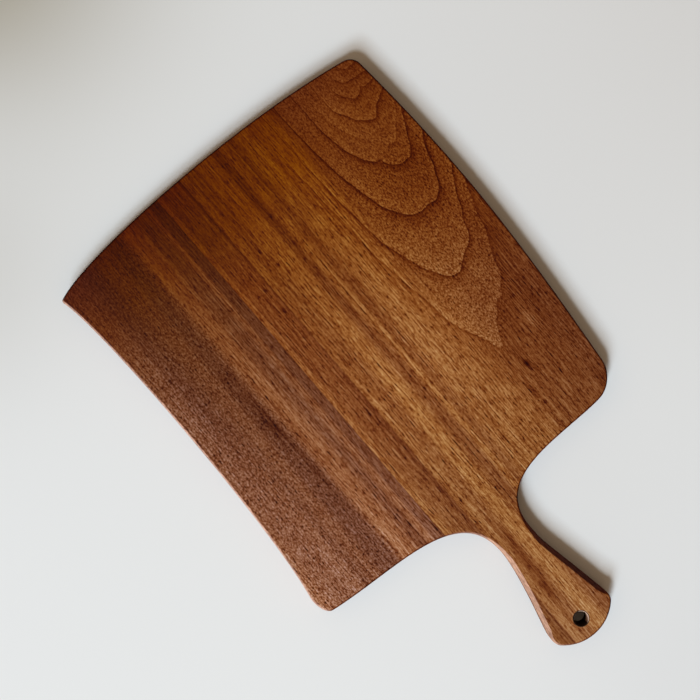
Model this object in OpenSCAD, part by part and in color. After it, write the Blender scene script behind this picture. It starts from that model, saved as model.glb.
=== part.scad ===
// Paddle-shaped cheese board of edge-glued staves, cut to a free-hand outline: a broad blade with
// one hollow and two bowed edges, coved shoulders, and a waisted handle with a hanging hole.
// The grain runs along Y, the handle points to -Y, and the board lies on Z = 0. The outline is
// drawn from the handle's tip along the handle line, then centred on its own box.

/* [Blade] */
// Thickness of the planed blank
board_t = 19; // [15:0.5:24]
// Left edge of the blade, from the shoulder corner to the far corner
blade_l = 253; // [200:1:300]
// Handle line to the far left corner
far_left_w = 117; // [90:0.5:140]
// Handle line to the far right corner
far_right_w = 119.5; // [90:0.5:140]
// Handle line to the left shoulder corner
shoulder_left_w = 123; // [90:0.5:140]
// Handle line to the right shoulder corner
shoulder_right_w = 113; // [90:0.5:140]
// How far the right shoulder corner sits nearer the tip than the left one
shoulder_drop = 6; // [0:0.5:12]
// How far the left far corner reaches past the right one
far_skew = 1.5; // [0:0.5:6]

/* [Handle] */
// Handle tip to the left shoulder corner
handle_l = 118.5; // [100:0.5:150]
// Handle tip to the narrowest place of the handle
neck_from_tip = 76.5; // [60:0.5:90]
// Width at the narrowest place
neck_w = 24; // [18:0.5:30]
// How far the narrowest place sits right of the handle line
neck_shift = 1.25; // [0:0.25:3]
// Width across the corners of the flared end
handle_end_w = 47; // [38:0.5:56]
// Rise of the bowed end between its corners
tip_bow = 11.5; // [6:0.5:16]

/* [Hanging hole] */
// Diameter of the bore
hole_d = 9; // [6:0.5:12]
// Handle tip to the middle of the hole
hole_from_tip = 13; // [11:0.5:24]
// Round-over of the hole's rims
hole_rim_r = 0.6; // [0.3:0.1:1.5]

/* [Staves] */
// Handle line to the right-hand seam
seam_from_line = 12.5; // [10:0.5:16]
// Width of the centre strip
strip_w = 18.5; // [12:0.5:30]

/* [Edges] */
// Round-over of the blade's edges and the handle's end
edge_r = 1.6; // [0.6:0.1:2]
// How far the bevel of the handle's two gripped sides runs in over each face
grip_in = 2.9; // [2:0.1:6]
// How far the bevel runs down from each face
grip_down = 3.5; // [2:0.1:9]
// Handle tip to where the bevel begins on the shoulders
grip_reach = 93; // [80:1:110]
// Length over which it grows on the shoulders
grip_run_in = 28; // [15:1:40]
// Length over which it fades at the flared end
grip_run_out = 9; // [5:0.5:20]
// Corner radius in plan, far left
far_left_r = 1.5; // [1:0.1:8]
// Corner radius in plan, far right
far_right_r = 9; // [2:0.5:15]
// Corner radius in plan, left shoulder
shoulder_left_r = 7.5; // [4:0.5:20]
// Corner radius in plan, right shoulder
shoulder_right_r = 25; // [4:0.5:30]
// Corner radius in plan, right of the flared end
tip_right_r = 8.5; // [2:0.5:14]
// Corner radius in plan, left of the flared end
tip_left_r = 11.5; // [2:0.5:14]

/* [Hidden] */

// What a cutter runs past the wood
overrun = 5;
// How nearly the full bevel is one flat, against a quarter round
bevel_flat_share = 0.9;
// Largest round-over or bevel as a share of the thickness
round_limit_share = 0.45;
// Chords round each quarter of a round-over
round_steps = 4;
bore_fn = 96;

// Directions in which each edge of the outline leaves its two ends, in degrees from +X, and how far
// it holds them, as shares of the straight line between those ends
grip_right_angles = [100, -90];
grip_right_shares = [0.84, 0.26];
cove_right_angles = [90, 205];
cove_right_shares = [0.45, 0.28];
right_angles = [84, -85];
right_shares = [0.38, 0.39];
far_angles = [168, 28];
far_shares = [0.34, 0.11];
left_angles = [-69, 64];
left_shares = [0.1, 0.13];
cove_left_angles = [-12, 90];
cove_left_shares = [0.41, 0.38];
grip_left_angles = [-90, 83];
grip_left_shares = [0.33, 0.15];

// Ends of the edges, anticlockwise from the flared end's right corner
tip_right = [handle_end_w / 2, tip_bow];
neck_right = [neck_shift + neck_w / 2, neck_from_tip];
shoulder_right = [shoulder_right_w, handle_l - shoulder_drop];
far_right = [far_right_w, handle_l + blade_l - far_skew];
far_left = [-far_left_w, handle_l + blade_l];
shoulder_left = [-shoulder_left_w, handle_l];
neck_left = [neck_shift - neck_w / 2, neck_from_tip];
tip_left = [-handle_end_w / 2, tip_bow];

// The bowed end is an arc: half its sweep follows from its chord and rise
tip_half = 2 * atan(2 * tip_bow / handle_end_w);
tip_share = 2 / 3 * tan(tip_half / 2) / sin(tip_half);

function heading(angle) = [cos(angle), sin(angle)];
function edge(a, b, angles, shares) =
    let (span = norm(b - a))
    [a, a + span * shares[0] * heading(angles[0]), b + span * shares[1] * heading(angles[1]), b];

edges = [
    edge(tip_right, neck_right, grip_right_angles, grip_right_shares),
    edge(neck_right, shoulder_right, cove_right_angles, cove_right_shares),
    edge(shoulder_right, far_right, right_angles, right_shares),
    edge(far_right, far_left, far_angles, far_shares),
    edge(far_left, shoulder_left, left_angles, left_shares),
    edge(shoulder_left, neck_left, cove_left_angles, cove_left_shares),
    edge(neck_left, tip_left, grip_left_angles, grip_left_shares),
    edge(tip_left, tip_right, [-tip_half, tip_half - 180], [tip_share, tip_share])
];
// A corner is never tighter in plan than this many of the blade's round-overs
corner_room = 1.05;
// Radius where each edge starts; the neck runs through smoothly
start_r = [
    for (r = [tip_right_r, 0, shoulder_right_r, far_right_r, far_left_r, shoulder_left_r, 0, tip_left_r])
        r > 0 ? max(r, edge_r * corner_room) : 0
];
// Chords along each edge and round each corner, alike on the left and the right
edge_steps = [14, 20, 14, 16, 14, 20, 14, 12];
corner_steps = [4, 0, 6, 5, 5, 6, 0, 4];
count = len(edges);

function before(i) = (i + count - 1) % count;
function after(i) = (i + 1) % count;
function unit(v) = v / norm(v);
function on_edge(e, t) =
    pow(1 - t, 3) * e[0] + 3 * pow(1 - t, 2) * t * e[1] + 3 * (1 - t) * t * t * e[2] + pow(t, 3) * e[3];
function along_edge(e, t) =
    unit(pow(1 - t, 2) * (e[1] - e[0]) + 2 * (1 - t) * t * (e[2] - e[1]) + t * t * (e[3] - e[2]));
// Turn at the start of edge i, and how much of the two edges its corner takes up
function turn(i) = acos(unit(edges[before(i)][3] - edges[before(i)][2]) * unit(edges[i][1] - edges[i][0]));
function cut_back(i) = start_r[i] > 0 ? start_r[i] * tan(turn(i) / 2) : 0;
function first_t(i) = cut_back(i) / (3 * norm(edges[i][1] - edges[i][0]));
function last_t(i) = 1 - cut_back(after(i)) / (3 * norm(edges[i][3] - edges[i][2]));
function edge_points(i) =
    [for (k = [0 : edge_steps[i]]) on_edge(edges[i], first_t(i) + (last_t(i) - first_t(i)) * k / edge_steps[i])];
function corner_points(i) =
    let (
        a = on_edge(edges[before(i)], last_t(before(i))),
        b = on_edge(edges[i], first_t(i)),
        pull = 4 / 3 * tan(turn(i) / 4) * start_r[i],
        blend = [
            a,
            a + pull * along_edge(edges[before(i)], last_t(before(i))),
            b - pull * along_edge(edges[i], first_t(i)),
            b
        ]
    )
    [for (k = [1 : 1 : corner_steps[i] - 1]) on_edge(blend, k / corner_steps[i])];

// The neck's two edges meet without a corner, so the point they share is kept once
drawn = [
    for (i = [0 : count - 1])
        for (p = concat(corner_points(i), [for (k = [start_r[i] > 0 ? 0 : 1 : edge_steps[i]]) edge_points(i)[k]]))
            p
];
total = len(drawn);
low = [min([for (p = drawn) p[0]]), min([for (p = drawn) p[1]])];
high = [max([for (p = drawn) p[0]]), max([for (p = drawn) p[1]])];
middle = (low + high) / 2;

function inward(i) =
    let (along = unit(unit(drawn[(i + 1) % total] - drawn[i]) + unit(drawn[i] - drawn[(i + total - 1) % total])))
    [-along[1], along[0]];
function eased(t) = let (s = min(1, max(0, t))) s * s * (3 - 2 * s);
// Share of the full bevel at a point of the outline: none on the blade and round the handle's end
function grip_share(p) = eased((grip_reach - p[1]) / grip_run_in) * eased((p[1] - tip_bow) / grip_run_out);
function grown(p, full) = min(board_t * round_limit_share, edge_r + (full - edge_r) * grip_share(p));

inwards = [for (i = [0 : total - 1]) inward(i)];
ins = [for (p = drawn) grown(p, grip_in)];
downs = [for (p = drawn) grown(p, grip_down)];
flats = [for (p = drawn) bevel_flat_share * grip_share(p)];

// One loop round the board, part way up the lower round-over or the upper one
function loop(angle, upper) = [
    for (i = [0 : total - 1])
        let (
            across = (1 - flats[i]) * (1 - sin(angle)) + flats[i] * (1 - angle / 90),
            up = (1 - flats[i]) * (1 - cos(angle)) + flats[i] * angle / 90,
            p = drawn[i] - middle + inwards[i] * ins[i] * across,
            rise = downs[i] * up
        )
        [p[0], p[1], upper ? board_t - rise : rise]
];
loops = concat(
    [for (k = [0 : round_steps]) loop(90 * k / round_steps, false)],
    [for (k = [round_steps : -1 : 0]) loop(90 * k / round_steps, true)]
);
loop_count = len(loops);

// The flat faces are a ladder of triangles, whose rungs run from the left edge to the right one
half = total / 2;
tip_middle = total - edge_steps[count - 1] / 2;
function rung(k) = [(tip_middle - k + total) % total, (tip_middle + k) % total];
ladder = [
    for (k = [0 : half - 1])
        let (a = rung(k), b = rung(k + 1))
        each concat(
            k > 0 ? [[a[0], a[1], b[1]]] : [],
            k < half - 1 ? [[a[0], b[1], b[0]]] : []
        )
];

// The whole board as if cut from one blank
module cut_board() {
    polyhedron(
        points = [for (ring = loops) each ring],
        faces = concat(
            ladder,
            [for (f = ladder) [for (k = [2 : -1 : 0]) (loop_count - 1) * total + f[k]]],
            [
                for (k = [0 : loop_count - 2])
                    for (i = [0 : total - 1])
                        let (
                            next = (i + 1) % total,
                            a = k * total + i,
                            b = k * total + next,
                            c = (k + 1) * total + next,
                            d = (k + 1) * total + i
                        )
                        each [[a, d, c], [a, c, b]]
            ]
        ),
        convexity = 6
    );
}

// The same board between two lines along the grain and two across it
module piece_between(x0, x1, y0, y1) {
    intersection() {
        cut_board();
        translate([x0, y0, -overrun])
            cube([x1 - x0, y1 - y0, board_t + 2 * overrun]);
    }
}

left_x = low[0] - middle[0] - overrun;
right_x = high[0] - middle[0] + overrun;
near_y = low[1] - middle[1] - overrun;
far_y = high[1] - middle[1] + overrun;
neck_y = neck_from_tip - middle[1];
right_seam_x = -seam_from_line - middle[0];
left_seam_x = right_seam_x - strip_w;
hole_at = [-middle[0], hole_from_tip - middle[1]];

// Takes the sharp rim off one end of the bore
module rim_cutter() {
    rotate_extrude($fn = bore_fn)
        difference() {
            translate([hole_d / 2 - hole_rim_r, -hole_rim_r])
                square([2 * hole_rim_r, 2 * hole_rim_r]);
            translate([hole_d / 2 + hole_rim_r, -hole_rim_r])
                circle(hole_rim_r, $fn = bore_fn);
        }
}

module left_stave() {
    color("#6f4427")
        piece_between(left_x, left_seam_x, neck_y, far_y);
}

module centre_strip() {
    color("#7d4c29")
        piece_between(left_seam_x, right_seam_x, neck_y, far_y);
}

// Widest stave: carries the handle and its hole
module handle_stave() {
    color("#8f5a2e")
        difference() {
            piece_between(right_seam_x, right_x, near_y, far_y);
            translate([hole_at[0], hole_at[1], -overrun])
                cylinder(d = hole_d, h = board_t + 2 * overrun, $fn = bore_fn);
            translate([hole_at[0], hole_at[1], board_t])
                rim_cutter();
            translate([hole_at[0], hole_at[1], 0])
                mirror([0, 0, 1])
                    rim_cutter();
        }
}

// End of the centre strip's blank, left by the waist of the handle
module handle_cheek() {
    color("#7d4c29")
        piece_between(left_x, right_seam_x, near_y, neck_y);
}

left_stave();
centre_strip();
handle_stave();
handle_cheek();
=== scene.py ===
import math

import bpy
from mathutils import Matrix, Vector


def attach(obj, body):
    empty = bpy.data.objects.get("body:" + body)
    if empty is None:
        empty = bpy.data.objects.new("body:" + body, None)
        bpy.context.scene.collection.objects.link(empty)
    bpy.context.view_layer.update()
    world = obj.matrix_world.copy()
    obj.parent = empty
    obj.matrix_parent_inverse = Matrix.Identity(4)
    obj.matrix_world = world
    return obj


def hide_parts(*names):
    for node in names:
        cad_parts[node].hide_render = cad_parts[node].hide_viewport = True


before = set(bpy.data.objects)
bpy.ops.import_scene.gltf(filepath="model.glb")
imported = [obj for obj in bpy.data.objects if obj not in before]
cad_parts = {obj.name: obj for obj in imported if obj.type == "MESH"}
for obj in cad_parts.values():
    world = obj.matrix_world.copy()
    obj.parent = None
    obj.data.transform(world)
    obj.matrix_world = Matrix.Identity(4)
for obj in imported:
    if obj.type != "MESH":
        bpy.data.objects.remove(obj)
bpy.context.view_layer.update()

# The board's outline: a template drawn free-hand and sawn round, so each side is a curve that leaves its
# two ends in a set direction and holds it for a share of the straight line between them. Lengths along
# the grain start at the handle's tip and widths at the handle line; the whole is then centred.
thickness = 0.019
blade_length = 0.253
far_left_width, far_right_width = 0.117, 0.1195
shoulder_left_width, shoulder_right_width = 0.123, 0.113
shoulder_drop, far_skew = 0.006, 0.0015
handle_length = 0.1185
neck_from_tip, neck_width, neck_shift = 0.0765, 0.024, 0.00125
handle_end_width, tip_bow = 0.047, 0.0115
blade_round = 0.0016
least_corner = 1.05 * blade_round


def heading(degrees):
    return Vector((math.cos(math.radians(degrees)), math.sin(math.radians(degrees))))


def sawn_side(start, end, directions, holds, chords, corner=0, corner_chords=0):
    """A side's curve as its four controls, its chords, and the radius and chords of its first corner."""
    span = (end - start).length
    from_start = start + span * holds[0] * heading(directions[0])
    from_end = end + span * holds[1] * heading(directions[1])
    return (start, from_start, from_end, end), chords, corner, corner_chords


def point_on(curve, t):
    shares = ((1 - t) ** 3, 3 * (1 - t) ** 2 * t, 3 * (1 - t) * t * t, t ** 3)
    return sum((share * control for share, control in zip(shares, curve)), Vector((0, 0)))


def way_along(curve, t):
    legs = [b - a for a, b in zip(curve, curve[1:])]
    return ((1 - t) ** 2 * legs[0] + 2 * (1 - t) * t * legs[1] + t * t * legs[2]).normalized()


tip_right = Vector((handle_end_width / 2, tip_bow))
neck_right = Vector((neck_shift + neck_width / 2, neck_from_tip))
shoulder_right = Vector((shoulder_right_width, handle_length - shoulder_drop))
far_right = Vector((far_right_width, handle_length + blade_length - far_skew))
far_left = Vector((-far_left_width, handle_length + blade_length))
shoulder_left = Vector((-shoulder_left_width, handle_length))
neck_left = Vector((neck_shift - neck_width / 2, neck_from_tip))
tip_left = Vector((-handle_end_width / 2, tip_bow))
tip_sweep = math.degrees(2 * math.atan(2 * tip_bow / handle_end_width))
tip_hold = 2 / 3 * math.tan(math.radians(tip_sweep / 2)) / math.sin(math.radians(tip_sweep))

sawn_sides = [
    sawn_side(tip_right, neck_right, (100, -90), (0.84, 0.26), 70, corner=0.0085, corner_chords=12),
    sawn_side(neck_right, shoulder_right, (90, 205), (0.45, 0.28), 90),
    sawn_side(shoulder_right, far_right, (84, -85), (0.38, 0.39), 80, corner=0.025, corner_chords=18),
    sawn_side(far_right, far_left, (168, 28), (0.34, 0.11), 90, corner=0.009, corner_chords=14),
    sawn_side(far_left, shoulder_left, (-69, 64), (0.1, 0.13), 100, corner=0.0015, corner_chords=5),
    sawn_side(shoulder_left, neck_left, (-12, 90), (0.41, 0.38), 90, corner=0.0075, corner_chords=14),
    sawn_side(neck_left, tip_left, (-90, 83), (0.33, 0.15), 70),
    sawn_side(tip_left, tip_right, (-tip_sweep, tip_sweep - 180), (tip_hold, tip_hold), 60,
              corner=0.0115, corner_chords=12),
]


def sawn_outline():
    """Points round the board, anticlockwise from above."""
    corners = []
    for i, (curve, _, radius, _) in enumerate(sawn_sides):
        before = sawn_sides[i - 1][0]
        turn = (before[3] - before[2]).angle(curve[1] - curve[0])
        radius = max(radius, least_corner) if radius else 0
        corners.append((radius, turn, radius * math.tan(turn / 2)))
    points = []
    for i, (curve, chords, _, corner_chords) in enumerate(sawn_sides):
        radius, turn, cut = corners[i]
        next_cut = corners[(i + 1) % len(corners)][2]
        start = cut / (3 * (curve[1] - curve[0]).length)
        end = 1 - next_cut / (3 * (curve[3] - curve[2]).length)
        if radius:
            before = sawn_sides[i - 1][0]
            before_end = 1 - cut / (3 * (before[3] - before[2]).length)
            pull = 4 / 3 * math.tan(turn / 4) * radius
            a, b = point_on(before, before_end), point_on(curve, start)
            corner = (a, a + pull * way_along(before, before_end), b - pull * way_along(curve, start), b)
            points += [point_on(corner, k / corner_chords) for k in range(1, corner_chords)]
        first = 0 if radius else 1
        points += [point_on(curve, start + (end - start) * k / chords) for k in range(first, chords + 1)]
    return points


outline = sawn_outline()
low = Vector((min(p.x for p in outline), min(p.y for p in outline)))
high = Vector((max(p.x for p in outline), max(p.y for p in outline)))
middle = (low + high) / 2


def blank_y(from_tip):
    """Place along the grain in the frame, from a length that starts at the handle's tip."""
    return from_tip - middle.y


def blank_x(from_line):
    """Place across the grain in the frame, from a width that starts at the handle line."""
    return from_line - middle.x


# The hanging hole: it is drilled straight through the handle's end, on the handle line, and both its
# rims are lightly eased
hole_diameter, hole_from_tip, hole_rim = 0.009, 0.013, 0.0006
hole_chords = 96
hole_at = Vector((blank_x(0), blank_y(hole_from_tip)))
hole = [hole_at + heading(-360 * k / hole_chords) * hole_diameter / 2 for k in range(hole_chords)]

template = bpy.data.curves.new("template", "CURVE")
template.dimensions = "2D"
for ring in ([p - middle for p in outline], hole):
    line = template.splines.new("POLY")
    line.points.add(len(ring) - 1)
    for point, place in zip(line.points, ring):
        point.co = (place.x, place.y, 0, 1)
    line.use_cyclic_u = True
template_object = bpy.data.objects.new("template", template)

# The board's edges: they are lightly rounded over from the top and from below, and the two gripped sides
# of the handle are worked to a steep bevel instead. It is one rule round the whole template, so the
# staves that are cut from the shaped board meet flush at their glue lines.
grip_in, grip_down = 0.0029, 0.0035
bevel_flatness = 0.9
grip_reach, grip_run_in, grip_run_out = 0.093, 0.028, 0.009
round_chords = 8


def put(tree, kind, settings=None, feeds=None):
    """Adds a node; feeds gives its sockets, by name or place, a value or another socket."""
    node = tree.nodes.new(kind)
    for name, value in (settings or {}).items():
        setattr(node, name, value)
    for name, value in (feeds or {}).items():
        if isinstance(value, bpy.types.NodeSocket):
            tree.links.new(value, node.inputs[name])
        else:
            node.inputs[name].default_value = value
    return node


def out_of(tree, kind, settings=None, feeds=None):
    """The first output of a new node."""
    return put(tree, kind, settings, feeds).outputs[0]


def maths(tree, operation, *terms):
    return out_of(tree, "ShaderNodeMath", {"operation": operation}, dict(enumerate(terms)))


def vector_maths(tree, operation, *terms):
    node = put(tree, "ShaderNodeVectorMath", {"operation": operation}, dict(enumerate(terms)))
    return node.outputs["Value" if operation in ("LENGTH", "DISTANCE") else "Vector"]


def split(tree, vector):
    """A vector's parts, by the names X, Y and Z."""
    return put(tree, "ShaderNodeSeparateXYZ", feeds={0: vector}).outputs


def joined(tree, **parts):
    """A vector from parts named X, Y and Z; one that isn't given is 0."""
    return out_of(tree, "ShaderNodeCombineXYZ", feeds=parts)


def mixed(tree, kind, share, none, full):
    """The value none where share is 0, and full where it is 1."""
    mix = put(tree, "ShaderNodeMix", {"data_type": kind}, {"Factor": share, "A": none, "B": full})
    return mix.outputs["Result"]


def eased(tree, value, low, high, to_low=0.0, to_high=1.0):
    """Runs smoothly from to_low, where the value is low, to to_high, where it is high."""
    return out_of(tree, "ShaderNodeMapRange", {"interpolation_type": "SMOOTHSTEP"}, {
        "Value": value, "From Min": low, "From Max": high, "To Min": to_low, "To Max": to_high})


shaping = bpy.data.node_groups.new("Cut stave from rounded blank", "GeometryNodeTree")
for kind, names in (
    ("Object", ["Template"]),
    ("Float", ["Thickness", "Blade round-over", "Grip in", "Grip down", "Bevel flatness",
               "Rim round-over", "Grip starts", "Grip is full", "Flare is full", "Flare ends"]),
    ("Vector", ["Cut centre", "Cut size"]),
    ("Material", ["Wood"]),
):
    for name in names:
        shaping.interface.new_socket(name, in_out="INPUT", socket_type="NodeSocket" + kind)
shaping.interface.new_socket("Stave", in_out="OUTPUT", socket_type="NodeSocketGeometry")
given = put(shaping, "NodeGroupInput").outputs


def switched(which, off, on):
    return out_of(shaping, "GeometryNodeSwitch", {"input_type": "FLOAT"}, {
        "Switch": which, "False": off, "True": on})


place_now = out_of(shaping, "GeometryNodeInputPosition")
along_grain = split(shaping, place_now)["Y"]
past_shoulder = eased(shaping, along_grain, given["Grip starts"], given["Grip is full"])
before_tip = eased(shaping, along_grain, given["Flare ends"], given["Flare is full"])
grip = maths(shaping, "MULTIPLY", past_shoulder, before_tip)
in_hole = put(shaping, "GeometryNodeCurveOfPoint").outputs["Curve Index"]


def grown(full):
    """The edge's size at a point: the blade's, grown to the grip's full size, or the hole's rim."""
    extra = maths(shaping, "SUBTRACT", given[full], given["Blade round-over"])
    at_side = maths(shaping, "MULTIPLY_ADD", extra, grip, given["Blade round-over"])
    return switched(in_hole, at_side, given["Rim round-over"])


tangent = split(shaping, out_of(shaping, "GeometryNodeInputTangent"))
into_wood = joined(shaping, X=maths(shaping, "MULTIPLY", tangent["Y"], -1.0), Y=tangent["X"])
flatness = switched(in_hole, maths(shaping, "MULTIPLY", given["Bevel flatness"], grip), 0.0)

# The template's points keep their place, the way into the wood and the reach of the edge's shape
drawn = put(shaping, "GeometryNodeObjectInfo", {"transform_space": "ORIGINAL"}, {
    "Object": given["Template"]})
marked = shaping.nodes.new("GeometryNodeCaptureAttribute")
shaping.links.new(drawn.outputs["Geometry"], marked.inputs["Geometry"])
for kind, name, value in (
    ("VECTOR", "place", place_now), ("VECTOR", "into wood", into_wood),
    ("FLOAT", "reach in", grown("Grip in")), ("FLOAT", "reach down", grown("Grip down")),
    ("FLOAT", "flatness", flatness),
):
    marked.capture_items.new(kind, name)
    shaping.links.new(value, marked.inputs[name])
place, inward, reach_in, reach_down, flat_part = (
    marked.outputs[name] for name in ("place", "into wood", "reach in", "reach down", "flatness"))

# The section of the side: quarter round, straight wall, quarter round
path = out_of(shaping, "GeometryNodeResampleCurve", {"mode": "COUNT"}, {
    "Curve": out_of(shaping, "GeometryNodeCurvePrimitiveLine"), "Count": 2 * round_chords + 2})
stepped = shaping.nodes.new("GeometryNodeCaptureAttribute")
stepped.capture_items.new("FLOAT", "step")
shaping.links.new(path, stepped.inputs["Geometry"])
shaping.links.new(out_of(shaping, "GeometryNodeInputIndex"), stepped.inputs["step"])
step = stepped.outputs["step"]
halfway = round_chords + 0.5
quarter_turn = math.pi / 2
from_half = maths(shaping, "ABSOLUTE", maths(shaping, "SUBTRACT", step, halfway))
turned = maths(shaping, "MULTIPLY", maths(shaping, "SUBTRACT", halfway, from_half),
               quarter_turn / round_chords)
turned_share = maths(shaping, "DIVIDE", turned, quarter_turn)
upper = maths(shaping, "GREATER_THAN", step, halfway)


def shaped(reach, round_part, flat):
    """Between a quarter round and one flat, over the edge's reach."""
    return maths(shaping, "MULTIPLY", reach, mixed(shaping, "FLOAT", flat_part, round_part, flat))


def rest_of(value):
    return maths(shaping, "SUBTRACT", 1.0, value)


set_in = shaped(reach_in, rest_of(maths(shaping, "SINE", turned)), rest_of(turned_share))
rise = shaped(reach_down, rest_of(maths(shaping, "COSINE", turned)), turned_share)
lift = joined(shaping, Z=switched(upper, rise, maths(shaping, "SUBTRACT", given["Thickness"], rise)))
in_plan = vector_maths(shaping, "MULTIPLY_ADD", inward, set_in, place)
side = out_of(shaping, "GeometryNodeCurveToMesh", feeds={
    "Curve": marked.outputs["Geometry"], "Profile Curve": stepped.outputs["Geometry"]})
side = out_of(shaping, "GeometryNodeSetPosition", feeds={
    "Geometry": side, "Position": vector_maths(shaping, "ADD", in_plan, lift)})
side = out_of(shaping, "GeometryNodeFlipFaces", feeds={"Mesh": side})

# The two planed faces fill what the edge work leaves, round the hole
flat_edge = vector_maths(shaping, "MULTIPLY_ADD", inward, reach_in, place)
face = out_of(shaping, "GeometryNodeSetPosition", feeds={
    "Geometry": marked.outputs["Geometry"], "Position": flat_edge})
face = out_of(shaping, "GeometryNodeFillCurve", {"mode": "NGONS"}, {"Curve": face})
top_face = out_of(shaping, "GeometryNodeTransform", feeds={
    "Geometry": face, "Translation": joined(shaping, Z=given["Thickness"])})
under_face = out_of(shaping, "GeometryNodeFlipFaces", feeds={"Mesh": face})
shells = shaping.nodes.new("GeometryNodeJoinGeometry")
for shell in (side, top_face, under_face):
    shaping.links.new(shell, shells.inputs[0])
weld = 1e-6
blank = out_of(shaping, "GeometryNodeMergeByDistance", feeds={
    "Geometry": shells.outputs[0], "Distance": weld})

# One stave is what lies between its glue lines, with its arrises kept crisp in shading
saw_box = out_of(shaping, "GeometryNodeMeshCube", feeds={"Size": given["Cut size"]})
saw_box = out_of(shaping, "GeometryNodeTransform", feeds={
    "Geometry": saw_box, "Translation": given["Cut centre"]})
sawn = put(shaping, "GeometryNodeMeshBoolean", {"operation": "INTERSECT", "solver": "EXACT"})
for shell in (saw_box, blank):
    shaping.links.new(shell, sawn.inputs["Mesh 2"])
least_arris = math.radians(40)
turn_here = put(shaping, "GeometryNodeInputMeshEdgeAngle").outputs["Unsigned Angle"]
stave = out_of(shaping, "GeometryNodeSetShadeSmooth", {"domain": "EDGE"}, {
    "Geometry": sawn.outputs[0], "Selection": maths(shaping, "GREATER_THAN", turn_here, least_arris),
    "Shade Smooth": False})
stave = out_of(shaping, "GeometryNodeSetShadeSmooth", {"domain": "FACE"}, {"Geometry": stave})
stave = out_of(shaping, "GeometryNodeSetMaterial", feeds={"Geometry": stave, "Material": given["Wood"]})
stave = out_of(shaping, "GeometryNodeRealizeInstances", feeds={"Geometry": stave})
put(shaping, "NodeGroupOutput", feeds={"Stave": stave})

# The glue lines: the board is edge-glued from long-grain staves with plain joints, before it is shaped.
# The right-hand line leaves the wood at the left shoulder and comes back where the handle flares, so the
# centre strip's wood is in two pieces, parted at the waist.
seam_from_line, strip_width = 0.0125, 0.0185
right_seam = blank_x(-seam_from_line)
left_seam = right_seam - strip_width
waist = blank_y(neck_from_tip)
beyond = 0.3


def saw_stave(name, wood, left, right, near, far):
    """A stave of the shaped board as a plain mesh, in place."""
    stave = bpy.data.objects.new(name, bpy.data.meshes.new(name))
    bpy.context.scene.collection.objects.link(stave)
    cut = stave.modifiers.new("Saw and round over", "NODES")
    cut.node_group = shaping
    settings = {
        "Template": template_object, "Thickness": thickness, "Blade round-over": blade_round,
        "Grip in": grip_in, "Grip down": grip_down, "Bevel flatness": bevel_flatness,
        "Rim round-over": hole_rim,
        "Grip starts": blank_y(grip_reach), "Grip is full": blank_y(grip_reach - grip_run_in),
        "Flare is full": blank_y(tip_bow + grip_run_out), "Flare ends": blank_y(tip_bow),
        "Cut centre": ((left + right) / 2, (near + far) / 2, thickness / 2),
        "Cut size": (right - left, far - near, 3 * thickness), "Wood": wood,
    }
    for socket in shaping.interface.items_tree:
        if socket.name in settings:
            cut[socket.identifier] = settings[socket.name]
    planed = stave.modifiers.new("Faces stay flat beside the round-over", "WEIGHTED_NORMAL")
    planed.keep_sharp = True
    planed.weight = 100
    bpy.context.view_layer.update()
    sawn = bpy.data.meshes.new_from_object(stave.evaluated_get(bpy.context.evaluated_depsgraph_get()))
    sawn.name = name
    stave.modifiers.clear()
    stave.data = sawn
    return stave


# The left stave: the darkest of the staves, solid walnut with a light left edge, with a painted
# highlight on its round-over, a near-black streak and a pale band, curly-grained left of that band. It is
# planed, glued to the centre strip and oiled. The oiled walnut is made here, and the other staves use it
# with values of their own.
mm = 0.001


def group(name, inputs, outputs):
    """A shader group with named sockets, and its own input and output nodes."""
    tree = bpy.data.node_groups.new(name, "ShaderNodeTree")
    for sockets, way in ((inputs, "INPUT"), (outputs, "OUTPUT")):
        for socket, kind in sockets.items():
            tree.interface.new_socket(socket, in_out=way, socket_type="NodeSocket" + kind)
    return tree, put(tree, "NodeGroupInput").outputs, put(tree, "NodeGroupOutput").inputs


def use(tree, shared, feeds):
    return put(tree, "ShaderNodeGroup", {"node_tree": shared}, feeds).outputs


def noise_at(tree, place, spacing, detail=2.0, shift=(0, 0, 0)):
    """Noise about 0, whose blobs are as long as spacing along each axis, in metres."""
    scaled = vector_maths(tree, "MULTIPLY_ADD", place, tuple(1 / length for length in spacing), shift)
    blobs = put(tree, "ShaderNodeTexNoise", feeds={
        "Vector": scaled, "Scale": 1.0, "Detail": detail, "Roughness": 0.5})
    return maths(tree, "SUBTRACT", blobs.outputs["Fac"], 0.5)


def drawn_curve(tree, value, points, unit=mm):
    """A curve through drawn points; their first number is in unit, and it is level past its ends."""
    levels = [level for _, level in points]
    low, high = min(levels), max(levels)
    first, last = points[0][0], points[-1][0]
    share = out_of(tree, "ShaderNodeMapRange", feeds={
        "Value": value, "From Min": first * unit, "From Max": last * unit})
    curve = put(tree, "ShaderNodeFloatCurve", feeds={"Value": share})
    line = curve.mapping.curves[0]
    ends = {0: 0, len(points) - 1: -1}
    for i, (at, level) in enumerate(points):
        spot = ((at - first) / (last - first), (level - low) / (high - low))
        knot = line.points[ends[i]] if i in ends else line.points.new(*spot)
        knot.location = spot
        knot.handle_type = "AUTO_CLAMPED"
    curve.mapping.update()
    return out_of(tree, "ShaderNodeMapRange", {"clamp": False}, {
        "Value": curve.outputs[0], "To Min": low, "To Max": high})


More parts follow.
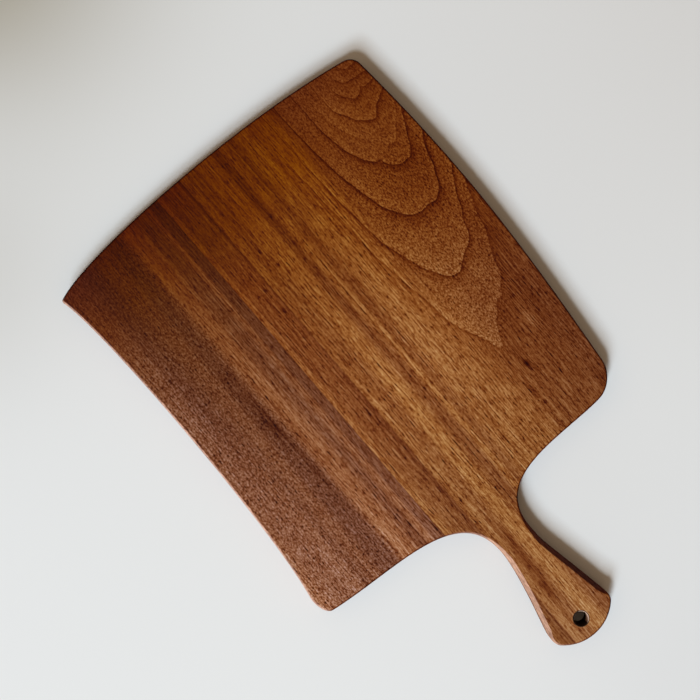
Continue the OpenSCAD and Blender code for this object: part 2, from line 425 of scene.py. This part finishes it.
# Pores, fibres and mottling: they are long along the grain and round across it
pore_size, fibre_size = (0.0009, 0.0042, 0.0009), (0.0009, 0.011, 0.0009)
streak_size, mottle_size = (0.001, 0.12, 0.001), (0.0008, 0.0015, 0.0008)
drift_size, drift_reach = (0.02, 0.06, 0.02), 0.003
full_pore = 0.17
grain, given, made = group("Walnut grain", {
    "Place": "Vector", "Seed": "Float",
    "Pore depth": "Float", "Fibre depth": "Float", "Mottle depth": "Float",
}, {"Tone": "Float", "Height": "Float"})
offset = joined(grain, X=given["Seed"], Y=given["Seed"], Z=given["Seed"])
place = vector_maths(grain, "ADD", given["Place"], offset)
drift = maths(grain, "MULTIPLY", noise_at(grain, place, drift_size, 1.0), drift_reach)
place = vector_maths(grain, "ADD", place, joined(grain, X=drift))
pores = eased(grain, noise_at(grain, place, pore_size, 1.0), 0.0, full_pore)
pores = maths(grain, "MULTIPLY", pores, given["Pore depth"])
fibres = maths(grain, "ADD", noise_at(grain, place, fibre_size, 2.0, (5, 2, 3)),
               noise_at(grain, place, streak_size, 2.0, (2, 6, 8)))
fibre_tone = maths(grain, "MULTIPLY", fibres, given["Fibre depth"])
mottle = noise_at(grain, place, mottle_size, 1.0, (9, 4, 1))
mottle_tone = maths(grain, "MULTIPLY", mottle, given["Mottle depth"])
tone = maths(grain, "ADD", maths(grain, "ADD", fibre_tone, mottle_tone), 1.0)
grain.links.new(maths(grain, "SUBTRACT", tone, pores), made["Tone"])
grain.links.new(maths(grain, "SUBTRACT", fibres, pores), made["Height"])

# A soft patch of lighter or darker wood: full at its middle and faded out past its size
patch, given, made = group("Soft patch", {
    "Place": "Vector", "Middle": "Vector", "Size": "Vector", "Change": "Float"}, {"Tone": "Float"})
away = vector_maths(patch, "SUBTRACT", given["Place"], given["Middle"])
away = vector_maths(patch, "LENGTH", vector_maths(patch, "DIVIDE", away, given["Size"]))
faded = maths(patch, "EXPONENT", maths(patch, "MULTIPLY", maths(patch, "MULTIPLY", away, away), -1.0))
patch.links.new(maths(patch, "MULTIPLY_ADD", faded, given["Change"], 1.0), made["Tone"])

# Dark walnut is redder than light walnut. End grain drinks more oil. Right-hand edges, turned away from
# the window, get painted shade, and left-hand ones, turned to it, a painted pale highlight. A lean is how
# far a face turns that way where the change starts, and where it is full.
green_follows, blue_follows, highlight_follows = 1.75, 2.7, 0.6
darkest_tone = 0.02
edge_lean, highlight_lean, upward_lean = (0.2, 0.55), (-0.1, -0.6), (0.0, 0.2)
highlight_share = 0.75
shade, given, made = group("Shade of walnut", {
    "Wood": "Color", "Tone": "Float", "End grain": "Float", "Right shade": "Float", "Edge highlight": "Color",
}, {"Colour": "Color"})
facing = split(shade, put(shade, "ShaderNodeNewGeometry").outputs["Normal"])
oiled = eased(shade, maths(shade, "ABSOLUTE", facing["Y"]), *edge_lean)
oiled = maths(shade, "MULTIPLY_ADD", oiled, maths(shade, "SUBTRACT", given["End grain"], 1.0), 1.0)
# Painted shade: faces that turn to the right, away from the window, are darkened
painted_right_shade = eased(shade, facing["X"], *edge_lean)
painted_right_shade = maths(shade, "MULTIPLY_ADD", painted_right_shade, maths(shade, "SUBTRACT", given["Right shade"], 1.0), 1.0)
tone = maths(shade, "MULTIPLY", maths(shade, "MULTIPLY", given["Tone"], oiled), painted_right_shade)
tone = maths(shade, "MAXIMUM", tone, darkest_tone)
powers = joined(shade, X=tone, Y=maths(shade, "POWER", tone, green_follows),
                Z=maths(shade, "POWER", tone, blue_follows))
# Painted highlight: left-facing edges that turn up towards the window are painted pale
painted_edge_highlight = maths(shade, "MULTIPLY", eased(shade, facing["X"], *highlight_lean, 0.0, highlight_share),
               eased(shade, facing["Z"], *upward_lean))
highlit_wood = put(shade, "ShaderNodeVectorMath", {"operation": "SCALE"}, {
    0: given["Edge highlight"],
    "Scale": maths(shade, "MULTIPLY_ADD", tone, highlight_follows, 1 - highlight_follows)}).outputs[0]
shaded = mixed(shade, "RGBA", painted_edge_highlight, vector_maths(shade, "MULTIPLY", given["Wood"], powers), highlit_wood)
shade.links.new(shaded, made["Colour"])


far_bands_until, near_bands_from = 0.08, 0.0


def walnut(name, along, far_bands, near_bands, hue_shift):
    """An oiled walnut, with the place on the board and the colour there. That changes along the grain,
    and in bands across it at the far end and at the handle; hue_shift says how strongly green and blue
    follow the bands."""
    wood = bpy.data.materials.new(name)
    wood.use_nodes = True
    tree = wood.node_tree
    place = put(tree, "ShaderNodeTexCoord").outputs["Object"]
    spot = split(tree, place)
    first, last = along[0][0], along[-1][0]
    # The colours along the grain are partly the wood's own and partly painted sheen: paler and bluer
    # nearer the handle end
    ramp = put(tree, "ShaderNodeValToRGB", feeds={0: out_of(tree, "ShaderNodeMapRange", feeds={
        "Value": spot["Y"], "From Min": first * mm, "From Max": last * mm})})
    stops = ramp.color_ramp.elements
    ends = {0: 0, len(along) - 1: -1}
    for i, (at, colour) in enumerate(along):
        stop = stops[ends[i]] if i in ends else stops.new((at - first) / (last - first))
        stop.color = (*colour, 1)
    bands = mixed(tree, "FLOAT", eased(tree, spot["Y"], far_bands_until, near_bands_from),
                  drawn_curve(tree, spot["X"], far_bands), drawn_curve(tree, spot["X"], near_bands))
    banded = joined(tree, X=bands, Y=maths(tree, "POWER", bands, hue_shift[0]),
                    Z=maths(tree, "POWER", bands, hue_shift[1]))
    return wood, place, vector_maths(tree, "MULTIPLY", ramp.outputs["Color"], banded)


def with_painted_haze(tree, colour, painted_haze):
    """The colour with a thin cold haze painted on, half as strong in green as in blue: painted sheen."""
    return vector_maths(tree, "ADD", colour, joined(tree, Y=maths(tree, "MULTIPLY", painted_haze, 0.5), Z=painted_haze))


far_calm, far_calm_over = 0.72, (0.1, 0.15)
handle_calm, handle_calm_over = 0.8, (-0.115, -0.085)
oil_shine = 0.06
pore_height, planed_height = -0.4, 0.2
pore_roughness, planed_roughness = 0.42, 0.3
side_lean, rougher_on_sides = (0.75, 0.4), 0.55
relief_strength, relief_depth = 0.25, 0.1 * mm


def give_grain(wood, place, seed, straight, curly, curled=0.0):
    """Gives the wood its oil, sheen and relief, and returns the tone of its grain. The depths of pores,
    fibres and mottling are the straight ones where curled is 0, and the curly ones where it is 1."""
    tree = wood.node_tree
    along = split(tree, place)["Y"]
    calm = maths(tree, "MULTIPLY", eased(tree, along, *far_calm_over, 1.0, far_calm),
                 eased(tree, along, *handle_calm_over, handle_calm, 1.0))
    depths = [maths(tree, "MULTIPLY", calm, eased(tree, curled, 0.0, 1.0, plain, wavy))
              for plain, wavy in zip(straight, curly)]
    fine = use(tree, grain, {
        "Place": place, "Seed": seed,
        "Pore depth": depths[0], "Fibre depth": depths[1], "Mottle depth": depths[2]})
    oil = tree.nodes["Principled BSDF"]
    oil.inputs["Specular IOR Level"].default_value = oil_shine
    sheen = eased(tree, fine["Height"], pore_height, planed_height, pore_roughness, planed_roughness)
    facing = split(tree, put(tree, "ShaderNodeNewGeometry").outputs["Normal"])
    on_side = eased(tree, maths(tree, "ABSOLUTE", facing["Z"]), *side_lean, 0.0, rougher_on_sides)
    tree.links.new(maths(tree, "ADD", sheen, on_side), oil.inputs["Roughness"])
    relief = out_of(tree, "ShaderNodeBump", feeds={
        "Strength": relief_strength, "Distance": relief_depth, "Height": fine["Height"]})
    tree.links.new(relief, oil.inputs["Normal"])
    return fine["Tone"]


# The second tone is the painted shade on right-facing edges
end_grain_tone, right_shade_tone = 0.4, 0.3
patch_depth = 0.012


def shaded_wood(tree, place, colour, tone, edge_highlight, patches=()):
    """The wood's colour with its patches, each with its middle, its size in mm and its change of tone."""
    for (x, y), (across, along), change in patches:
        tone = maths(tree, "MULTIPLY", tone, use(tree, patch, {
            "Place": place, "Middle": (x * mm, y * mm, thickness),
            "Size": (across * mm, along * mm, patch_depth), "Change": change})["Tone"])
    # The shade group darkens end grain, paints shade on right-facing edges and a highlight on left-facing
    # ones
    return use(tree, shade, {"Wood": colour, "Tone": tone, "End grain": end_grain_tone,
                             "Right shade": right_shade_tone, "Edge highlight": edge_highlight})["Colour"]


def paint(wood, colour):
    wood.node_tree.links.new(colour, wood.node_tree.nodes["Principled BSDF"].inputs["Base Color"])


left_wood, place, colour = walnut(
    "left stave walnut",
    along=[(-80, (0.22, 0.08, 0.035)), (110, (0.14, 0.04, 0.01)), (150, (0.1, 0.021, 0.002)),
           (188, (0.06, 0.007, 0.0003))],
    far_bands=[(-118, 1.3), (-105, 1.15), (-92, 0.9), (-80, 1), (-73, 0.8), (-65, 1.1), (-59, 1.5),
               (-52, 1.15), (-46, 1), (-41, 1.3), (-39, 0.85), (-35, 0.85), (-33.3, 0.55)],
    near_bands=[(-118, 1.5), (-104, 1.2), (-94, 1.2), (-88, 1), (-82, 1.1), (-74, 0.8), (-67, 0.8),
                (-59, 1.5), (-50, 1.2), (-47, 1), (-41, 1.35), (-38, 0.9), (-35, 0.95), (-33.3, 0.6)],
    hue_shift=(1.2, 0.95))
tree = left_wood.node_tree
spot = split(tree, place)
pale_band, curl_blend = -0.063, 0.004
# Painted sheen: a cold haze on the stave's far left, weaker towards the far end
haze_from, haze_full, left_haze = pale_band - 0.02, pale_band - 0.04, 0.006
far_haze_over, far_haze_share = (0.08, 0.15), 0.45
painted_haze = maths(tree, "MULTIPLY", eased(tree, spot["X"], haze_from, haze_full, 0.0, left_haze),
              eased(tree, spot["Y"], *far_haze_over, 1.0, far_haze_share))
curled = eased(tree, spot["X"], pale_band + curl_blend, pale_band - curl_blend)
tone = give_grain(left_wood, place, seed=1.7, straight=(0.45, 1.8, 1.0), curly=(0.36, 1.4, 2.5),
                  curled=curled)
# The pale colour of the painted highlight on left-facing edges
pale_highlight = (0.58, 0.35, 0.26, 1)
dark_streak = [
    ((-71, 40), (2.4, 9), -0.42), ((-68.6, 48), (0.8, 38), -0.35), ((-69, 33), (1.1, 6), -0.45),
    ((-73.5, 78), (2.4, 6), -0.22), ((-72, 64), (1.8, 6), -0.2), ((-67.5, 0), (1.5, 45), -0.2)]
broad_shades = [((-106, 158), (18, 26), -0.12), ((-108, 75), (11, 40), 0.13)]
paint(left_wood, shaded_wood(tree, place, with_painted_haze(tree, colour, painted_haze), tone, pale_highlight,
                             dark_streak + broad_shades))
left_stave = saw_stave("left_stave_wood", left_wood, -beyond, left_seam, waist, beyond)
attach(left_stave, "root")
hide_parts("left_stave")

# The centre strip: a narrow stave of brown, straight-grained walnut with a light streak beside its left
# glue line. It is glued between the two wide staves.
# The colour of the painted highlight on left-facing edges of the strip, the cheek and the handle stave
brown_highlight = (0.54, 0.315, 0.22, 1)
strip_wood, place, colour = walnut(
    "centre strip walnut",
    along=[(-190, (0.24, 0.09, 0.025)), (10, (0.22, 0.067, 0.016)), (110, (0.15, 0.033, 0.004)),
           (150, (0.1, 0.018, 0.0005)), (188, (0.065, 0.007, 0.0003))],
    far_bands=[(-33.3, 0.8), (-32, 1.4), (-29, 1), (-22, 1.1), (-18, 1.1), (-15.5, 0.8), (-14.8, 0.6)],
    near_bands=[(-33.3, 0.8), (-32, 1.4), (-28, 1.1), (-24, 1), (-20, 0.95), (-14.8, 0.7)],
    hue_shift=(1.5, 1.6))
tree = strip_wood.node_tree
tone = give_grain(strip_wood, place, seed=4.3, straight=(0.4, 1.8, 1.1), curly=(0.4, 1.8, 1.1))
paint(strip_wood, shaded_wood(tree, place, colour, tone, brown_highlight))
centre_strip = saw_stave("centre_strip_wood", strip_wood, left_seam, right_seam, waist, beyond)
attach(centre_strip, "root")
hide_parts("centre_strip")

# The handle cheek: the end of the centre strip's own wood, left where the handle flares out to its tip.
# It is glued to the handle stave's left edge, and the waist of the handle parts it from the strip.
handle_cheek = saw_stave("handle_cheek_wood", strip_wood, -beyond, right_seam, -beyond, waist)
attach(handle_cheek, "root")
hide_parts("handle_cheek")

# The handle stave: one wide flat-sawn piece of walnut that runs from the far edge to the handle's tip,
# with straight grain on its left and arched growth lines on its right. It is glued to the centre strip
# and to the cheek, and the hanging hole is drilled through it.

# The growth lines on its upper face, in mm, from the outermost arch inwards
arches = [
    [(20, 260), (36, 190), (37, 120), (39, 60), (43, 10), (50, -30), (60, -62), (72, -80), (90, -70),
     (104, -40), (110, 0), (116, 30), (122, 50)],
    [(20, 260), (42.5, 200), (43, 154), (44.6, 121), (45.7, 104), (47, 83), (49.3, 61), (52, 40),
     (54.3, 26), (58, 8.6), (61.4, 0), (65.4, -10), (69.3, -18.6), (74.3, -10), (77, -5), (83, 1.4),
     (87, 5.7), (90.7, 6), (94.3, 11.4), (98.6, 17), (101.4, 26), (105.7, 36), (110, 46), (111.4, 53),
     (115, 61.4), (118.6, 71.4), (122, 84)],
    [(20, 260), (49.5, 200), (50.7, 140), (52, 119), (53.6, 104), (54.7, 93), (56.4, 77), (59.3, 66),
     (63, 56), (67, 47), (70, 41), (74.3, 35.7), (81.4, 34.6), (84.3, 37), (90, 40.7), (95.7, 43.6),
     (99.3, 47), (103, 56), (106.4, 63), (111.4, 73.6), (115.7, 81.4), (122, 94)],
    [(20, 260), (58.5, 200), (59.3, 173), (60.3, 154), (61.7, 140), (63, 127), (65, 116), (68, 104),
     (70, 96.4), (74.3, 88.6), (79.3, 82), (83, 79.3), (90, 78.6), (98, 78.3), (102, 80), (105.7, 83.6),
     (108, 89.3), (111.4, 97), (113.6, 104), (118, 113), (122, 120)],
    [(20, 260), (71, 200), (71.7, 179), (72, 163), (73.6, 149), (75, 140), (78, 131.4), (81.4, 124.3),
     (85.7, 120), (88.5, 119.3), (89.6, 115.7), (92, 111.7), (95.7, 109.7), (101.4, 108.3), (105, 110),
     (109.3, 117), (114.3, 125.7), (118.6, 134.3), (122, 141)],
    [(20, 260), (77, 200), (78, 169), (79.3, 157), (81.4, 148.6), (84.3, 141.4), (88.6, 135), (93, 130),
     (97, 124.3), (102, 122), (107, 125), (111.4, 131.4), (115.7, 137), (122, 147)],
    [(20, 260), (84.5, 200), (85.4, 164), (87, 158.6), (90, 153), (93.6, 147), (98, 143), (102, 141),
     (105.7, 143), (108, 146), (113, 148.3), (118.6, 152), (122, 155)],
    [(20, 260), (93, 200), (94, 170), (95.7, 164.3), (98, 161.4), (102, 158.6), (106.4, 159.7),
     (108, 161.5), (111.4, 159.7), (118.6, 160.7), (122, 161)],
    [(20, 260), (98, 200), (98.6, 177), (100.7, 172), (105, 168.6), (111.4, 168), (118, 167),
     (122, 167)],
    [(20, 260), (103, 200), (105, 180), (108.6, 176.4), (115.7, 176), (122, 176)],
]
# How dark each line is drawn, but for the outermost arch, which only starts the figure
line_strengths = (0.7, 0.9, 1.0, 0.8, 0.25, 0.6, 0.5, 0.4, 0.3)
# How much the wood darkens towards each line
ring_depths = [(0, 0.15), (1, 0.28), (2, 0.36), (3, 0.36), (4, 0.1), (5, 0.3), (6, 0.28), (7, 0.24),
               (8, 0.2), (9, 0)]
inner_edge, outer_fade = (-0.35, 0.15), (2.2, 0.2)
slope_step = 0.5
least_gap = 0.5
arch_dive, arch_waver = 4.0, 2.5 * mm
sideways_waves, lengthways_waves = (0.012, 0.02, 0.012), (0.009, 0.012, 0.009)
lengthways_waver = 2.0
line_darkness = 0.3

figure, given, made = group("Cathedral figure", {
    "Place": "Vector", "Dive": "Float", "Waver": "Float"}, {"Ring": "Float", "Line": "Float"})
waver_x = noise_at(figure, given["Place"], sideways_waves, 3.0)
waver_x = maths(figure, "MULTIPLY", waver_x, given["Waver"])
waver_y = noise_at(figure, given["Place"], lengthways_waves, 3.0, (3, 8, 5))
waver_y = maths(figure, "MULTIPLY", waver_y, given["Waver"])
spot = split(figure, given["Place"])
depth = maths(figure, "SUBTRACT", thickness, spot["Z"])
spot_x = maths(figure, "ADD", spot["X"], waver_x)
spot_y = maths(figure, "ADD", spot["Y"], maths(figure, "MULTIPLY", waver_y, lengthways_waver))
spot_y = maths(figure, "SUBTRACT", spot_y, maths(figure, "MULTIPLY", depth, given["Dive"]))
spot_y = maths(figure, "MULTIPLY", spot_y, 1 / mm)
heights = [drawn_curve(figure, spot_x, arch) for arch in arches]
ring = 0.0
for outer, inner in zip(heights, heights[1:]):
    gap = maths(figure, "MAXIMUM", maths(figure, "SUBTRACT", inner, outer), least_gap)
    into = maths(figure, "DIVIDE", maths(figure, "SUBTRACT", spot_y, outer), gap)
    ring = maths(figure, "ADD", ring, out_of(figure, "ShaderNodeClamp", feeds={0: into}))
figure.links.new(ring, made["Ring"])
# Each line is sharp on its inner side and fades over 2 mm on its outer side, however steep it runs
line = 0.0
for strength, arch, height in zip(line_strengths, arches[1:], heights[1:]):
    height_beside = drawn_curve(figure, maths(figure, "ADD", spot_x, slope_step * mm), arch)
    slope = maths(figure, "DIVIDE", maths(figure, "SUBTRACT", height_beside, height), slope_step)
    lean = maths(figure, "SQRT", maths(figure, "MULTIPLY_ADD", slope, slope, 1.0))
    outside = maths(figure, "DIVIDE", maths(figure, "SUBTRACT", height, spot_y), lean)
    drawn = maths(figure, "MULTIPLY", eased(figure, outside, *inner_edge, 0.0, strength),
                  eased(figure, outside, *outer_fade))
    line = maths(figure, "ADD", line, drawn)
figure.links.new(line, made["Line"])

stave_wood, place, colour = walnut(
    "handle stave walnut",
    along=[(-190, (0.25, 0.09, 0.025)), (-95, (0.22, 0.07, 0.015)), (10, (0.25, 0.08, 0.017)),
           (110, (0.18, 0.044, 0.004)), (150, (0.135, 0.026, 0.0005)), (188, (0.1, 0.016, 0.0002))],
    far_bands=[(-14.8, 0.6), (-13, 0.95), (-7, 0.85), (3, 1.1), (9, 1.05), (14, 0.65), (18, 1.05),
               (25, 0.8), (29, 1), (38, 1.15), (48, 1.25), (60, 1), (122, 1)],
    near_bands=[(-14.8, 0.6), (-13, 1.05), (-4, 0.9), (3, 1.25), (10, 1), (17, 0.75), (21, 1.2),
                (25, 0.85), (32, 1.1), (46, 1.1), (75, 0.75), (95, 0.65), (108, 0.5), (122, 0.45)],
    hue_shift=(1.5, 1.6))
tree = stave_wood.node_tree
spot = split(tree, place)
arched = use(tree, figure, {"Place": place, "Dive": arch_dive, "Waver": arch_waver})
# The wood between two lines is a little paler past the first and darkens steeply towards the next
darkening, darkening_power = (0.5, 0.985), 3.0
paler, paler_until = 0.2, 0.4
past_line = maths(tree, "FRACT", arched["Ring"])
ring_depth = drawn_curve(tree, maths(tree, "FLOOR", arched["Ring"]), ring_depths, unit=1.0)
dark_side = maths(tree, "POWER", eased(tree, past_line, *darkening), darkening_power)
pale_side = eased(tree, past_line, 0.0, paler_until, paler, 0.0)
lines = maths(tree, "SUBTRACT", maths(tree, "ADD", pale_side, 1.0),
              maths(tree, "MULTIPLY", dark_side, ring_depth))
lines = maths(tree, "SUBTRACT", lines, maths(tree, "MULTIPLY", arched["Line"], line_darkness))
curled_past_ring, curled_past = (0.8, 1.1), (0.05, 0.066)
curled = maths(tree, "MULTIPLY", eased(tree, arched["Ring"], *curled_past_ring),
               eased(tree, spot["X"], *curled_past))
# Painted sheen: a cold haze inside the arches towards the far end
haze_past, far_haze = (0.08, 0.14), 0.002
painted_haze = maths(tree, "MULTIPLY", curled, eased(tree, spot["Y"], *haze_past, 0.0, far_haze))
tone = give_grain(stave_wood, place, seed=8.9, straight=(0.46, 1.8, 1.0), curly=(0.12, 0.5, 2.7),
                  curled=curled)
pin_knot = [((75, -36), (1.6, 3.6), -0.95), ((74, -27), (1.2, 7), -0.3), ((77, -42.5), (1.3, 4), -0.4)]
purple_streak = [((-3.5, -112), (1.8, 9), -0.4), ((-4.8, -131), (2.6, 13), -0.4),
                 ((-6, -150), (3.0, 9), -0.45)]
broad_shades = [
    ((94, -14), (4, 8), 0.35), ((90, 25), (7, 10), 0.18), ((112, 45), (8, 18), -0.25),
    ((114, 75), (24, 38), -0.2), ((95, 94), (27, 24), -0.18), ((90, 150), (15, 22), 0.2),
    ((2, 158), (13, 34), -0.17), ((80, 174), (38, 22), 0.15), ((71, 15), (6, 36), 0.17),
    ((75, -45), (12, 22), 0.14), ((60, -66), (6, 8), -0.15), ((111, -58), (7, 17), 0.35),
    ((112, 110), (7, 12), -0.14), ((10, -63), (5, 12), 0.12), ((-11, -95), (4, 10), 0.15),
    ((97, -60), (5, 8), -0.13)]
shaded = shaded_wood(tree, place, with_painted_haze(tree, colour, painted_haze), maths(tree, "MULTIPLY", lines, tone),
                     brown_highlight, pin_knot + purple_streak + broad_shades)

# The wall of the hole is painted dark as shade, with a patch of painted window light near the top of its
# right side
painted_hole_shade, painted_hole_light = (0.02, 0.01, 0.006, 1), (0.75, 0.5, 0.36, 1)
away = vector_maths(tree, "DISTANCE", vector_maths(tree, "MULTIPLY", place, (1, 1, 0)), (*hole_at, 0))
hole_radius = hole_diameter / 2
hole_shade_share = eased(tree, away, hole_radius + 0.9 * mm, hole_radius + 0.6 * mm)
hole_light_share = maths(tree, "MULTIPLY", eased(tree, spot["Z"], thickness - 14 * mm, thickness - 7 * mm),
             eased(tree, spot["X"], hole_at.x + 0.8 * mm, hole_at.x + 3 * mm))
hole_light_share = maths(tree, "MULTIPLY", hole_light_share, eased(tree, away, hole_radius + 0.4 * mm, hole_radius + 0.2 * mm))
paint(stave_wood, mixed(tree, "RGBA", hole_light_share, mixed(tree, "RGBA", hole_shade_share, shaded, painted_hole_shade), painted_hole_light))
handle_stave = saw_stave("handle_stave_wood", stave_wood, right_seam, beyond, -beyond, beyond)
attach(handle_stave, "root")
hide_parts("handle_stave")

# The table top: a plain matt pale surface, larger than the picture. Four soft shades lie on it, which
# something outside the picture casts.
table_span = 3.0
half = table_span / 2
table = bpy.data.objects.new("table_top", bpy.data.meshes.new("table_top"))
corners = [(-half, -half, 0), (half, -half, 0), (half, half, 0), (-half, half, 0)]
table.data.from_pydata(corners, [], [(0, 1, 2, 3)])
bpy.context.scene.collection.objects.link(table)
pale = bpy.data.materials.new("pale table")
pale.use_nodes = True
tree = pale.node_tree
place = put(tree, "ShaderNodeTexCoord").outputs["Object"]
table_colour, table_roughness = (0.746, 0.76, 0.745, 1), 0.8
soft_shades = (
    ((-0.0185, 0.4208, 0), 0.13, (0.29, 0.25, 0.165, 1)),
    ((0.4125, 0.0597, 0), 0.265, (0.66, 0.655, 0.63, 1)),
    ((-0.1623, 0.253, 0), 0.082, (0.61, 0.61, 0.58, 1)),
    ((0.0611, -0.3212, 0), 0.158, (0.69, 0.7, 0.69, 1)),
)
for shade_middle, reach, shade_colour in soft_shades:
    clear = use(tree, patch, {
        "Place": place, "Middle": shade_middle, "Size": (reach, reach, reach), "Change": -1.0})["Tone"]
    table_colour = mixed(tree, "RGBA", clear, shade_colour, table_colour)
paint(pale, table_colour)
tree.nodes["Principled BSDF"].inputs["Roughness"].default_value = table_roughness
table.data.materials.append(pale)

# The camera hangs one metre above the board, as in the photograph, turned so that the handle points
# down to the right
camera_turn = -40.6
camera_height = 1.0
upper_arris = 0.0176
picture_width = 0.43424
picture_middle = (-0.00275, 0.04167)
camera_data = bpy.data.cameras.new("camera")
camera_data.sensor_width = 36
camera_data.lens = camera_data.sensor_width * camera_height / picture_width
camera = bpy.data.objects.new("camera", camera_data)
camera.location = (*picture_middle, upper_arris + camera_height)
camera.rotation_euler = (0, 0, math.radians(camera_turn))
bpy.context.scene.collection.objects.link(camera)
bpy.context.scene.camera = camera

# Light falls from one tall window at the lower left: its open upper pane gives the sharper half of the
# shadow, and the dimmer panes below it the long soft half. A bright curtain low down on the same side
# lights the board's left-hand edges, and the brown room fills in weakly.
board_middle = Vector((0, 0.04, 0))
window_distance = 6.0


def window(name, way, across, tall, power, colour):
    """A bright rectangle that faces the board from the given way."""
    data = bpy.data.lights.new(name, "AREA")
    data.shape = "RECTANGLE"
    data.size, data.size_y = across, tall
    data.energy = power
    data.color = colour
    pane = bpy.data.objects.new(name, data)
    pane.location = board_middle + window_distance * Vector(way).normalized()
    pane.rotation_euler = (pane.location - board_middle).to_track_quat("Z", "Y").to_euler()
    bpy.context.scene.collection.objects.link(pane)


window("upper_pane", (-0.47, -0.22, 1.0), across=0.76, tall=0.76, power=143.0, colour=(0.875, 0.94, 1.0))
window("lower_panes", (-0.74, -0.44, 1.0), across=1.45, tall=1.95, power=230.0, colour=(0.72, 0.86, 1.0))
window("bright_curtain", (-0.9, -0.42, 0.11), across=9.0, tall=1.9, power=110.0, colour=(0.85, 0.93, 1.0))

room = bpy.data.worlds.new("room")
bpy.context.scene.world = room
room.use_nodes = True
room_look = room.node_tree
way = split(room_look, put(room_look, "ShaderNodeTexCoord").outputs["Generated"])
walls, ceiling = 0.1, 0.44
left_share, right_share = 1.35, 0.65
upwards = eased(room_look, way["Z"], 0.3, 0.85, walls, ceiling)
sideways = eased(room_look, way["X"], -0.7, 0.7, left_share, right_share)
background = room_look.nodes["Background"]
room_brown = (1.0, 0.7, 0.46, 1)
background.inputs["Color"].default_value = room_brown
room_look.links.new(maths(room_look, "MULTIPLY", upwards, sideways), background.inputs["Strength"])

bpy.context.scene.view_settings.view_transform = "Standard"
